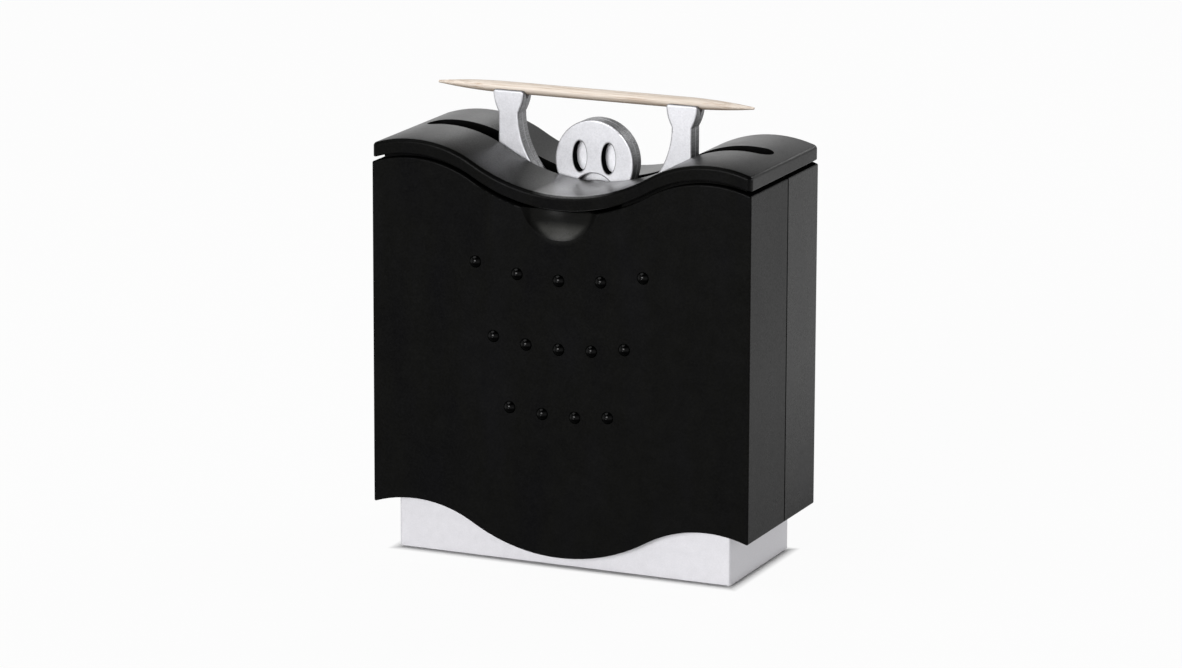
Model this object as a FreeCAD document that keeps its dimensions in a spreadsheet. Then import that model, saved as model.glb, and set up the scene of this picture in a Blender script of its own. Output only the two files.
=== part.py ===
import FreeCAD, Part
import math
import os
import Sketcher

# Toothpick dispenser, in millimetres. +Z is up and the table is z = 0. X runs along the width,
# the front faces -Y, and the origin lies under the middle of the base.
# A silver base carries a flat figure. The black case with its hopper slides up and down on the
# base. When it is lifted, the figure sinks below the hopper's throat, and when it is pushed
# down again, the hands come up through the picks, through the slot in the lid, with one pick.

DRIVING_SIZES = (
    # Case: two shells with a wavy top and bottom edge.
    ("case_width", 77.2),
    ("case_depth", 33.4),
    ("case_height", 66.3),
    ("case_ground_gap", 2.3),
    ("case_wall", 1.6),
    ("case_edge_round", 0.3),
    ("wave_reach", 30.2),
    ("wave_rise", 8.3),
    ("wave_valley_radius", 34.8),
    ("figure_plane", 1.5),
    ("seam_bevel", 0.25),
    ("lap_depth", 1.2),
    # Thumb scoop in the front shell.
    ("scoop_width", 16.2),
    ("scoop_drop", 5.0),
    ("scoop_radius", 12.0),
    ("scoop_wall", 1.4),
    # Lid.
    ("lid_gap", 0.7),
    ("lid_thickness", 2.8),
    ("lid_corner_round", 1.0),
    ("lid_round", 0.75),
    ("lid_under_round", 0.3),
    ("lip_depth", 3.5),
    ("lip_wall", 1.2),
    ("slot_overrun", 2.1),
    ("slot_width", 5.0),
    ("lip_notch_width", 24.0),
    # Studs on the front face.
    ("stud_diameter", 2.4),
    ("stud_dome", 0.75),
    ("stud_stem_diameter", 1.4),
    ("stud_row_radius", 70.0),
    ("stud_upper_height", 56.0),
    ("stud_upper_pitch", 8.55),
    ("stud_middle_height", 42.8),
    ("stud_middle_pitch", 6.7),
    ("stud_lower_height", 29.95),
    ("stud_lower_pitch", 6.7),
    # Base.
    ("base_end_gap", 2.8),
    ("base_face_gap", 0.65),
    ("base_wall", 1.6),
    ("base_corner_round", 0.4),
    ("base_deck_height", 8.3),
    ("base_deck_thickness", 2.0),
    ("base_floor_thickness", 2.0),
    ("pad_proud", 0.4),
    ("pad_diameter", 7.6),
    ("pad_recess", 0.8),
    ("pad_clearance", 0.2),
    ("pad_edge_gap", 1.1),
    ("ballast_end_gap", 7.1),
    ("ballast_side_gap", 3.35),
    ("ballast_thickness", 3.0),
    ("ballast_corner", 2.0),
    ("socket_height", 9.0),
    ("socket_wall", 1.5),
    ("floor_screw_inset", 3.1),
    ("floor_boss_diameter", 5.0),
    # Travel of the case, its stops and its guides.
    ("case_travel", 35.0),
    ("slide_gap", 0.25),
    ("rest_gap", 0.3),
    ("hook_height", 1.8),
    ("hook_width", 4.6),
    ("hook_spread", 6.5),
    ("hook_overrun", 0.8),
    ("stop_bridge", 1.8),
    ("guide_width", 1.4),
    ("end_guide_inset", 3.25),
    ("face_guide_inset", 8.6),
    # Hopper.
    ("pick_room", 1.8),
    ("hopper_wall", 1.4),
    ("hopper_end_gap", 2.2),
    ("hopper_rim_drop", 1.25),
    ("flange_drop", 4.1),
    ("flange_thickness", 1.4),
    ("flange_clearance", 0.2),
    ("throat_margin", 0.6),
    ("boss_height", 5.0),
    ("boss_diameter", 4.0),
    ("boss_wall_gap", 0.4),
    ("boss_end_gap", 3.4),
    ("ledge_reach", 1.5),
    ("ledge_height", 2.0),
    ("ledge_length", 8.0),
    ("fit_gap", 0.1),
    # Figure.
    ("layer_thickness", 2.0),
    ("hand_spacing", 35.6),
    ("hand_width", 6.4),
    ("hand_rise", 19.3),
    ("hand_height", 4.3),
    ("wrist_width", 4.1),
    ("arm_inner_radius", 16.5),
    ("head_radius", 8.05),
    ("neck_width", 8.0),
    ("neck_rise", 0.8),
    ("eye_width", 2.9),
    ("eye_height", 5.95),
    ("eye_spacing", 5.9),
    ("eye_rise", 0.9),
    ("mouth_width", 7.4),
    ("mouth_drop", 2.15),
    ("mouth_arch", 1.95),
    ("mouth_band", 1.6),
    ("figure_edge_round", 0.35),
    ("parting_bevel", 0.15),
    ("hand_corner_round", 0.5),
    ("foot_end_gap", 2.0),
    # Toothpick. Its length follows from the room in the hopper.
    ("pick_diameter", 2.2),
    ("pick_taper", 14.0),
    ("pick_tip_radius", 0.25),
    ("pick_offset", -0.8),
    ("pick_rise", 0.2),
    # Screws and nuts.
    ("small_screw_diameter", 2.0),
    ("small_screw_length", 6.0),
    ("small_head_diameter", 3.6),
    ("small_head_height", 1.2),
    ("screw_clearance", 0.2),
    ("clamp_screw_diameter", 2.5),
    ("clamp_head_diameter", 4.4),
    ("clamp_head_height", 1.6),
    ("clamp_screw_spacing", 12.0),
    ("clamp_nut_width", 5.0),
    ("clamp_nut_thickness", 2.0),
)

MARGIN = 1.0             # how far a cut runs past the solid it cuts
GROOVE_ANGLE = 60.0      # degrees between the sides of the groove that holds a pick
DRIVE_REACH = 0.6        # arms of the cross in a screw's head, as a share of the head's radius
DRIVE_HALF_WIDTH = 0.15  # half the width of those arms, as a share of the same radius
ORIGIN = -1              # the sketcher's number for the axes of a sketch; its point 1 is their origin


# ---------------------------------------------------------------- sizes and their expressions

document = FreeCAD.newDocument("toothpick_dispenser")
sheet = document.addObject("Spreadsheet::Sheet", "sizes")
for row, (alias, number) in enumerate(DRIVING_SIZES, start=1):
    sheet.set(f"A{row}", alias)
    sheet.set(f"B{row}", str(number))
    sheet.setAlias(f"B{row}", alias)
document.recompute()


class Size:
    """A length that keeps its value together with the sheet expression that gives it."""

    def __init__(self, value, text):
        self.value = value
        self.text = text

    def __add__(self, other):
        other = as_size(other)
        return Size(self.value + other.value, f"({self.text} + {other.text})")

    def __sub__(self, other):
        other = as_size(other)
        return Size(self.value - other.value, f"({self.text} - {other.text})")

    def __mul__(self, other):
        other = as_size(other)
        return Size(self.value * other.value, f"({self.text} * {other.text})")

    def __truediv__(self, other):
        other = as_size(other)
        return Size(self.value / other.value, f"({self.text} / {other.text})")

    def __radd__(self, other):
        return as_size(other) + self

    def __rsub__(self, other):
        return as_size(other) - self

    def __rmul__(self, other):
        return as_size(other) * self

    def __neg__(self):
        return Size(-self.value, f"(0 - {self.text})")


class Sizes:
    """size.NAME is the value of that cell of the sheet."""

    def __getattr__(self, alias):
        return Size(float(sheet.get(alias)), f"sizes.{alias}")


def as_size(number):
    if isinstance(number, Size):
        return number
    return Size(float(number), f"{float(number):.6f}")


def root(area):
    return Size(math.sqrt(area.value), f"sqrt({area.text})")


def bind(item, path, length):
    """Set a property path of an object to a length through its expression."""
    item.setExpression(path, as_size(length).text)


size = Sizes()


# ---------------------------------------------------------------- sketches

def constrain(sketch, kind, length, *where):
    """Add a dimension to a sketch and bind it to the length's expression."""
    length = as_size(length)
    index = sketch.addConstraint(Sketcher.Constraint(kind, *where, length.value))
    name = f"{kind.lower()}_{index}"
    sketch.renameConstraint(index, name)
    bind(sketch, f"Constraints.{name}", length)


def place_point(sketch, edge, point, across, up):
    constrain(sketch, "DistanceX", across, ORIGIN, 1, edge, point)
    constrain(sketch, "DistanceY", up, ORIGIN, 1, edge, point)


def arc_between(start, end, radius, turn, far):
    """The arc from start to end. turn is 1 to the left or -1 to the right; far takes the long way."""
    chord = end - start
    middle = start + chord * 0.5
    left = FreeCAD.Vector(-chord.y, chord.x, 0).normalize()
    rise = math.sqrt(max(radius ** 2 - (chord.Length / 2) ** 2, 0.0))
    side = -turn if far else turn
    centre = middle + left * (rise * side)
    first, last = (start, end) if turn > 0 else (end, start)
    begin = math.atan2(first.y - centre.y, first.x - centre.x)
    finish = math.atan2(last.y - centre.y, last.x - centre.x)
    if finish <= begin:
        finish += 2 * math.pi
    circle = Part.Circle(centre, FreeCAD.Vector(0, 0, 1), radius)
    return Part.ArcOfCircle(circle, begin, finish)


def left_arc(across, up, radius, far=False):
    """A corner that an arc leaves, turning left."""
    return (across, up, radius, 1, far)


def right_arc(across, up, radius, far=False):
    """A corner that an arc leaves, turning right."""
    return (across, up, radius, -1, far)


def bend_arc(sketch, edge, start, end, radius):
    """Hold an arc whose ends are held: by its radius, or by its centre where it is a half circle."""
    run = end[0].value - start[0].value
    climb = end[1].value - start[1].value
    half_circle = abs(math.hypot(run, climb) - 2 * as_size(radius).value) < 1e-6
    if not half_circle:
        constrain(sketch, "Radius", radius, edge)
    elif abs(climb) < 1e-6:
        constrain(sketch, "DistanceY", start[1], ORIGIN, 1, edge, 3)
    else:
        constrain(sketch, "DistanceX", start[0], ORIGIN, 1, edge, 3)


def draw(sketch, path):
    """Draw a closed outline. A corner is (across, up), or left_arc or right_arc of it."""
    corners = [(as_size(step[0]), as_size(step[1])) for step in path]
    spots = [FreeCAD.Vector(across.value, up.value, 0) for across, up in corners]
    ends = []
    for index, step in enumerate(path):
        start = spots[index]
        end = spots[(index + 1) % len(path)]
        if len(step) == 2:
            edge = sketch.addGeometry(Part.LineSegment(start, end), False)
            ends.append((edge, 1, 2))
        else:
            radius, turn, far = step[2:]
            arc = arc_between(start, end, as_size(radius).value, turn, far)
            edge = sketch.addGeometry(arc, False)
            ends.append((edge, 1, 2) if turn > 0 else (edge, 2, 1))
    for index, (edge, start_point, end_point) in enumerate(ends):
        after, after_point, _ = ends[(index + 1) % len(ends)]
        sketch.addConstraint(Sketcher.Constraint("Coincident", edge, end_point, after, after_point))
        place_point(sketch, edge, start_point, *corners[index])
        if len(path[index]) > 2:
            bend_arc(sketch, edge, corners[index], corners[(index + 1) % len(path)], path[index][2])


def draw_circle(sketch, across, up, radius):
    centre = FreeCAD.Vector(as_size(across).value, as_size(up).value, 0)
    circle = Part.Circle(centre, FreeCAD.Vector(0, 0, 1), as_size(radius).value)
    edge = sketch.addGeometry(circle, False)
    place_point(sketch, edge, 3, across, up)
    constrain(sketch, "Radius", radius, edge)


def draw_upright_ellipse(sketch, across, up, half_width, half_height):
    """Draw an ellipse whose long axis is upright, held by the ends of its two axes."""
    across, up = as_size(across), as_size(up)
    half_width, half_height = as_size(half_width), as_size(half_height)
    centre = FreeCAD.Vector(across.value, up.value, 0)
    top = FreeCAD.Vector(across.value, up.value + half_height.value, 0)
    side = FreeCAD.Vector(across.value + half_width.value, up.value, 0)
    edge = sketch.addGeometry(Part.Ellipse(top, side, centre), False)
    sketch.exposeInternalGeometry(edge)
    long_axis, short_axis = edge + 1, edge + 2
    place_point(sketch, edge, 3, across, up)
    sketch.addConstraint(Sketcher.Constraint("Vertical", long_axis))
    constrain(sketch, "Distance", 2 * half_height, long_axis)
    constrain(sketch, "Distance", 2 * half_width, short_axis)


def rectangle(left, low, right, high):
    return [(left, low), (right, low), (right, high), (left, high)]


def centred(half_width, half_height):
    return rectangle(-half_width, -half_height, half_width, half_height)


def with_mirror_image(half):
    """Continue a path that climbs the right side with its mirror image down the left side."""
    left = []
    for index in range(len(half) - 1, -1, -1):
        arc = half[index - 1][2:] if index else ()
        left.append((-as_size(half[index][0]), half[index][1]) + arc)
    return half + left


# ---------------------------------------------------------------- features of a body

# For each plane: its role in the body's origin, the way its normal points along the world axis
# across it, and that axis. On XZ, across is X and up is Z; on YZ, across is Y and up is Z.
PLANES = {"XY": ("XY_Plane", 1), "XZ": ("XZ_Plane", -1), "YZ": ("YZ_Plane", 1)}


def new_body(label):
    body = document.addObject("PartDesign::Body", label)
    body.Label = label
    return body


def new_sketch(body, name, plane, depth=0, rise=0):
    """A sketch on a plane of the body's origin, moved to a depth across it, and up by rise."""
    role, sign = PLANES[plane]
    sketch = body.newObject("Sketcher::SketchObject", f"{body.Name}_{name}_sketch")
    origin_plane = next(item for item in body.Origin.OriginFeatures if item.Role == role)
    sketch.AttachmentSupport = [(origin_plane, "")]
    sketch.MapMode = "FlatFace"
    bind(sketch, "AttachmentOffset.Base.z", sign * as_size(depth))
    bind(sketch, "AttachmentOffset.Base.y", rise)
    return sketch


def finish_feature(body, feature, grows):
    """Recompute a feature and make sure that it added or removed material."""
    before = feature.BaseFeature.Shape.Volume if feature.BaseFeature else 0.0
    document.recompute()
    body.Tip = feature
    change = feature.Shape.Volume - before
    if (change > 0) != grows or abs(change) < 1e-6:
        raise ValueError(f"{feature.Name} changed the volume by {change:.4f}")
    return feature


def prism(body, kind, name, plane, paths, low, high):
    """Pad or pocket outlines between two levels of the world axis that crosses the plane."""
    low, high = as_size(low), as_size(high)
    sign = PLANES[plane][1]
    starts_low = (kind == "Pad") == (sign > 0)
    sketch = new_sketch(body, name, plane, low if starts_low else high)
    for path in paths:
        draw(sketch, path)
    return extrude(body, kind, name, sketch, high - low)


def extrude(body, kind, name, sketch, length):
    feature = body.newObject(f"PartDesign::{kind}", f"{body.Name}_{name}")
    feature.Profile = sketch
    bind(feature, "Length", length)
    sketch.Visibility = False
    return finish_feature(body, feature, kind == "Pad")


def drill(body, name, plane, centres, radius, low, high):
    """Pocket round holes between two levels of the world axis that crosses the plane."""
    low, high = as_size(low), as_size(high)
    sketch = new_sketch(body, name, plane, low if PLANES[plane][1] < 0 else high)
    for across, up in centres:
        draw_circle(sketch, across, up, radius)
    return extrude(body, "Pocket", name, sketch, high - low)


def turn(body, kind, name, plane, path, axis, depth=0, rise=0):
    """Revolve a path about an axis of its sketch, as a Revolution or a Groove."""
    sketch = new_sketch(body, name, plane, depth, rise)
    draw(sketch, path)
    feature = body.newObject(f"PartDesign::{kind}", f"{body.Name}_{name}")
    feature.Profile = sketch
    feature.ReferenceAxis = (sketch, [axis])
    feature.Angle = 360.0
    sketch.Visibility = False
    return finish_feature(body, feature, kind == "Revolution")


def ease_edges(body, kind, name, amount, chosen):
    """Fillet or chamfer the edges of the body's tip that the test chooses."""
    base = body.Tip
    names = []
    for index, edge in enumerate(base.Shape.Edges, start=1):
        if chosen(edge):
            names.append(f"Edge{index}")
    feature = body.newObject(f"PartDesign::{kind}", f"{body.Name}_{name}")
    feature.Base = (base, names)
    bind(feature, "Radius" if kind == "Fillet" else "Size", amount)
    document.recompute()
    body.Tip = feature
    return feature


def near(value, length):
    return abs(value - as_size(length).value) < 1e-4


def lies_at(edge, axis, length):
    """True where the whole edge lies at one level of an axis, given as x, y or z."""
    box = edge.BoundBox
    low, high = {"x": (box.XMin, box.XMax), "y": (box.YMin, box.YMax), "z": (box.ZMin, box.ZMax)}[axis]
    return near(low, length) and near(high, length)


def group(label, master, places, turned=None):
    """Place copies of a master body as the separate solids of one sub-part."""
    links = []
    for index, place in enumerate(places, start=1):
        link = document.addObject("App::Link", f"{label}_{index}")
        link.LinkedObject = master
        spots = [as_size(length) for length in place]
        rotation = turned or FreeCAD.Rotation()
        link.Placement = FreeCAD.Placement(FreeCAD.Vector(*[spot.value for spot in spots]), rotation)
        for axis, spot in zip("xyz", spots):
            bind(link, f"Placement.Base.{axis}", spot)
        links.append(link)
    whole = document.addObject("Part::Compound", label)
    whole.Label = label
    whole.Links = links
    return whole


# ---------------------------------------------------------------- levels and reaches that pieces share

boss_radius = size.boss_diameter / 2
case_half_width = size.case_width / 2
case_half_depth = size.case_depth / 2
inner_half_width = case_half_width - size.case_wall
inner_half_depth = case_half_depth - size.case_wall
hopper_outer_length = inner_half_width - size.hopper_end_gap
hopper_half_length = hopper_outer_length - size.hopper_wall
pick_half_length = hopper_half_length - size.pick_room / 2
boss_line = inner_half_depth - size.boss_wall_gap - boss_radius
boss_reach = hopper_half_length - size.boss_end_gap
boss_places = [boss_reach * step for step in (-1, 0, 1)]
hopper_outer_width = boss_line - boss_radius - size.rest_gap
hopper_half_width = hopper_outer_width - size.hopper_wall
seam = size.figure_plane
case_bottom = size.case_ground_gap
case_top = case_bottom + size.case_height
lid_under = case_top + size.lid_gap
lid_top = lid_under + size.lid_thickness

base_half_width = inner_half_width - size.base_end_gap
base_half_depth = inner_half_depth - size.base_face_gap
tub_half_width = base_half_width - size.base_wall
tub_half_depth = base_half_depth - size.base_wall
floor_screw_reach = tub_half_width - size.floor_screw_inset
floor_screw_places = [(-floor_screw_reach, 0), (floor_screw_reach, 0)]
pad_inset = size.pad_edge_gap + size.pad_diameter / 2
pad_places = [
    (across * (tub_half_width - pad_inset), along * (tub_half_depth - pad_inset))
    for across in (-1, 1) for along in (-1, 1)
]
deck_under = size.base_deck_height
deck_top = deck_under + size.base_deck_thickness
floor_top = size.pad_proud + size.base_floor_thickness
ballast_top = floor_top + size.ballast_thickness

hand_top = case_top + size.hand_rise
wrist = hand_top - size.hand_height
pick_height = hand_top + size.pick_rise
pick_radius = size.pick_diameter / 2
# With the case up, the V floor would just hold a pick that lies in the grooves of the hands.
hopper_valley = pick_height - math.sqrt(2) * pick_radius - size.slide_gap - size.case_travel
hopper_under = hopper_valley - size.hopper_wall
hopper_rim = case_top - size.hopper_rim_drop
flange_top = hopper_rim - size.flange_drop
flange_under = flange_top - size.flange_thickness
boss_under = flange_under - size.boss_height

face_wall_top = boss_under - size.rest_gap
end_wall_top = hopper_under - size.rest_gap
track_top = end_wall_top - size.stop_bridge
hook_top = track_top - size.case_travel - size.fit_gap
hook_under = hook_top - size.hook_height
track_under = hook_under - size.rest_gap

hand_reach = (size.hand_spacing + size.hand_width) / 2
arm_reach = (size.hand_spacing + size.wrist_width) / 2
inner_wrist = arm_reach - size.wrist_width
neck = size.neck_width / 2
# The arms reach the neck at the lap level. The head stands on the neck just above it.
across_lap = neck + size.arm_inner_radius - inner_wrist
lap_level = wrist - root(size.arm_inner_radius * size.arm_inner_radius - across_lap * across_lap)
chin = lap_level + size.neck_rise
head_height = chin + root(size.head_radius * size.head_radius - neck * neck)
clamp_line = deck_top + size.socket_height / 2
clamp_places = [(size.clamp_screw_spacing * step, clamp_line) for step in (-1, 0, 1)]
clamp_hole_radius = (size.clamp_screw_diameter + size.fit_gap) / 2
figure_front_face = seam - size.layer_thickness
figure_rear_face = seam + size.layer_thickness


# ---------------------------------------------------------------- the wave of the case and the lid

crest_radius = (
    (size.wave_reach * size.wave_reach + size.wave_rise * size.wave_rise) / (2 * size.wave_rise)
    - size.wave_valley_radius
)
bend_reach = size.wave_valley_radius * size.wave_reach / (size.wave_valley_radius + crest_radius)
bend_rise = size.wave_valley_radius - root(
    size.wave_valley_radius * size.wave_valley_radius - bend_reach * bend_reach
)


def wave_rise_at(across):
    """How far the wave stands above its valley, out past the bend between valley and crest."""
    past_crest = across - size.wave_reach
    return size.wave_rise - crest_radius + root(crest_radius * crest_radius - past_crest * past_crest)


def wave_rightward(level, reach):
    """The wave from left to right, with its valley at the level. The last corner ends it."""
    end_rise = level + wave_rise_at(reach)
    return [
        right_arc(-reach, end_rise, crest_radius),
        left_arc(-bend_reach, level + bend_rise, size.wave_valley_radius),
        right_arc(bend_reach, level + bend_rise, crest_radius),
        (reach, end_rise),
    ]


def wave_leftward(level, reach):
    """The wave from right to left."""
    end_rise = level + wave_rise_at(reach)
    return [
        left_arc(reach, end_rise, crest_radius),
        right_arc(bend_reach, level + bend_rise, size.wave_valley_radius),
        left_arc(-bend_reach, level + bend_rise, crest_radius),
        (-reach, end_rise),
    ]


# ---------------------------------------------------------------- case shells

def cut_wavy_edges(body):
    """Cut the top and the bottom edge of a shell to the wave."""
    reach = case_half_width + MARGIN
    above = case_top + size.wave_rise + size.scoop_radius
    below = case_bottom - 2 * MARGIN
    front = -case_half_depth - MARGIN
    back = case_half_depth + MARGIN
    over_top = wave_rightward(case_top, reach) + [(reach, above), (-reach, above)]
    prism(body, "Pocket", "top_wave", "XZ", [over_top], front, back)
    under_bottom = wave_leftward(case_bottom, reach) + [(-reach, below), (reach, below)]
    prism(body, "Pocket", "bottom_wave", "XZ", [under_bottom], front, back)


def add_guides(body, side):
    """Guide ribs that run on the base, hooks that run in its end tracks, and ledges for the lid."""
    wall_bite = size.case_wall / 2
    rib_half = size.guide_width / 2
    end_rib_line = base_half_depth - size.end_guide_inset
    face_rib_line = tub_half_width - size.face_guide_inset
    end_ribs = []
    face_ribs = []
    hooks = []
    ledges = []
    for hand in (-1, 1):
        wall = hand * (inner_half_width + wall_bite)
        end_ribs.append(side_box(
            hand * (base_half_width + size.slide_gap), wall,
            side * (end_rib_line - rib_half), side * (end_rib_line + rib_half)))
        hooks.append(side_box(
            hand * (tub_half_width - size.hook_overrun), wall,
            side * (size.hook_spread - size.hook_width / 2),
            side * (size.hook_spread + size.hook_width / 2)))
        ledges.append(side_box(
            hand * (inner_half_width - size.ledge_reach), wall,
            side * (size.hook_spread - size.ledge_length / 2),
            side * (size.hook_spread + size.ledge_length / 2)))
        face_ribs.append(side_box(
            hand * face_rib_line - rib_half, hand * face_rib_line + rib_half,
            side * (base_half_depth + size.slide_gap), side * (inner_half_depth + wall_bite)))
    prism(body, "Pad", "end_guides", "XY", end_ribs, hook_top, face_wall_top)
    prism(body, "Pad", "face_guides", "XY", face_ribs, hook_top, face_wall_top)
    prism(body, "Pad", "hooks", "XY", hooks, hook_under, hook_top)
    lip_end_under = lid_under - size.lip_depth + wave_rise_at(inner_half_width - size.flange_clearance)
    ledge_top = lip_end_under - size.rest_gap
    prism(body, "Pad", "ledges", "XY", ledges, ledge_top - size.ledge_height, ledge_top)


def side_box(first_x, second_x, first_y, second_y):
    """A rectangle given by two opposite corners in any order."""
    left, right = sorted((as_size(first_x), as_size(second_x)), key=lambda length: length.value)
    low, high = sorted((as_size(first_y), as_size(second_y)), key=lambda length: length.value)
    return rectangle(left, low, right, high)


def add_bosses(body, side):
    """Screw bosses that stand off the inside of a shell's face and carry the hopper flange."""
    wall = side * (inner_half_depth + size.case_wall / 2)
    line = side * boss_line
    outlines = []
    for place in boss_places:
        bend = left_arc if side < 0 else right_arc
        outlines.append([
            (place + boss_radius, wall),
            bend(place + boss_radius, line, boss_radius),
            (place - boss_radius, line),
            (place - boss_radius, wall),
        ])
    prism(body, "Pad", "bosses", "XY", outlines, boss_under, flange_under)
    centres = [(place, line) for place in boss_places]
    drill(body, "pilot_holes", "XY", centres, size.small_screw_diameter / 2, boss_under - MARGIN, flange_under + MARGIN)


def shell(label, side):
    """One half of the case: side is -1 for the front and 1 for the rear."""
    body = new_body(label)
    low = case_bottom - MARGIN
    high = case_top + size.wave_rise + MARGIN
    face = side * case_half_depth
    inside = side * inner_half_depth
    first, last = (face, seam) if side < 0 else (seam, face)
    outside_box = rectangle(-case_half_width, low, case_half_width, high)
    prism(body, "Pad", "block", "XZ", [outside_box], first, last)
    first, last = (inside, seam + MARGIN) if side < 0 else (seam - MARGIN, inside)
    inside_box = rectangle(-inner_half_width, low - MARGIN, inner_half_width, high + MARGIN)
    prism(body, "Pocket", "inside", "XZ", [inside_box], first, last)
    add_guides(body, side)
    add_bosses(body, side)
    return body


def round_shell(body, side):
    """Round the outer edges of a shell, and bevel its seam."""
    face = side * case_half_depth

    def on_outline(edge):
        if lies_at(edge, "y", face):
            return True
        across = abs(edge.BoundBox.XMin)
        on_end = near(across, case_half_width) and near(abs(edge.BoundBox.XMax), case_half_width)
        runs_along_depth = edge.BoundBox.YLength > size.case_wall.value
        return on_end and runs_along_depth

    def on_seam(edge):
        across = abs(edge.BoundBox.XMin)
        on_end = near(across, case_half_width) and near(abs(edge.BoundBox.XMax), case_half_width)
        return on_end and lies_at(edge, "y", seam)

    ease_edges(body, "Fillet", "outer_rounds", size.case_edge_round, on_outline)
    ease_edges(body, "Chamfer", "seam_bevel", size.seam_bevel, on_seam)


def lap_boxes(clearance):
    """The strips inside the end walls where the front shell laps into the rear one."""
    boxes = []
    for hand in (-1, 1):
        boxes.append(side_box(
            hand * inner_half_width, hand * (inner_half_width + size.case_wall / 2 + clearance),
            case_bottom - MARGIN, case_top + size.wave_rise + MARGIN))
    return boxes


def stud_places():
    """Across and up of each stud: three rows that hang in a curve."""
    rows = (
        (size.stud_upper_height, size.stud_upper_pitch, (-2, -1, 0, 1, 2)),
        (size.stud_middle_height, size.stud_middle_pitch, (-2, -1, 0, 1, 2)),
        (size.stud_lower_height, size.stud_lower_pitch, (-1.5, -0.5, 0.5, 1.5)),
    )
    places = []
    for height, pitch, steps in rows:
        for step in steps:
            across = pitch * step
            sag = size.stud_row_radius - root(size.stud_row_radius * size.stud_row_radius - across * across)
            places.append((across, height + sag))
    return places


def front_shell():
    body = shell("front_shell", -1)
    prism(body, "Pad", "lap", "XZ", lap_boxes(0), seam - MARGIN, seam + size.lap_depth)

    scoop_half = size.scoop_width / 2
    scoop_line = case_top - size.scoop_drop + scoop_half
    centre = -case_half_depth - root(size.scoop_radius * size.scoop_radius - scoop_half * scoop_half)
    back_radius = size.scoop_radius + size.scoop_wall
    flat = -inner_half_depth - size.case_wall / 2
    flat_reach = root(back_radius * back_radius - (flat - centre) * (flat - centre))
    back = [(flat, 0), left_arc(centre + back_radius, 0, back_radius), (flat, flat_reach)]
    turn(body, "Revolution", "scoop_back", "YZ", back, "H_Axis", rise=scoop_line)

    cut_wavy_edges(body)
    round_shell(body, -1)

    mouth = -case_half_depth - MARGIN
    mouth_reach = root(size.scoop_radius * size.scoop_radius - (mouth - centre) * (mouth - centre))
    bowl = [(mouth, 0), left_arc(centre + size.scoop_radius, 0, size.scoop_radius), (mouth, mouth_reach)]
    turn(body, "Groove", "scoop", "YZ", bowl, "H_Axis", rise=scoop_line)

    hole_radius = (size.stud_stem_diameter + size.fit_gap) / 2
    drill(body, "stud_holes", "XZ", stud_places(), hole_radius,
          -case_half_depth - MARGIN, -inner_half_depth + MARGIN)
    return body


def rear_shell():
    body = shell("rear_shell", 1)
    prism(body, "Pocket", "lap_rebate", "XZ", lap_boxes(size.fit_gap),
          seam - MARGIN, seam + size.lap_depth + size.fit_gap)
    cut_wavy_edges(body)
    round_shell(body, 1)
    return body


def grip_studs():
    """Domed studs with stems, seated in the holes of the front face."""
    master = new_body("stud_master")
    head = size.stud_diameter / 2
    stem = size.stud_stem_diameter / 2
    dome_radius = (head * head + size.stud_dome * size.stud_dome) / (2 * size.stud_dome)
    profile = [
        (0, -size.case_wall),
        (stem, -size.case_wall),
        (stem, 0),
        left_arc(head, 0, dome_radius),
        (0, size.stud_dome),
    ]
    turn(master, "Revolution", "form", "XZ", profile, "V_Axis")
    places = [(across, -case_half_depth, up) for across, up in stud_places()]
    outward = FreeCAD.Rotation(FreeCAD.Vector(1, 0, 0), 90)
    return group("grip_studs", master, places, outward)


# ---------------------------------------------------------------- lid

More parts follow.
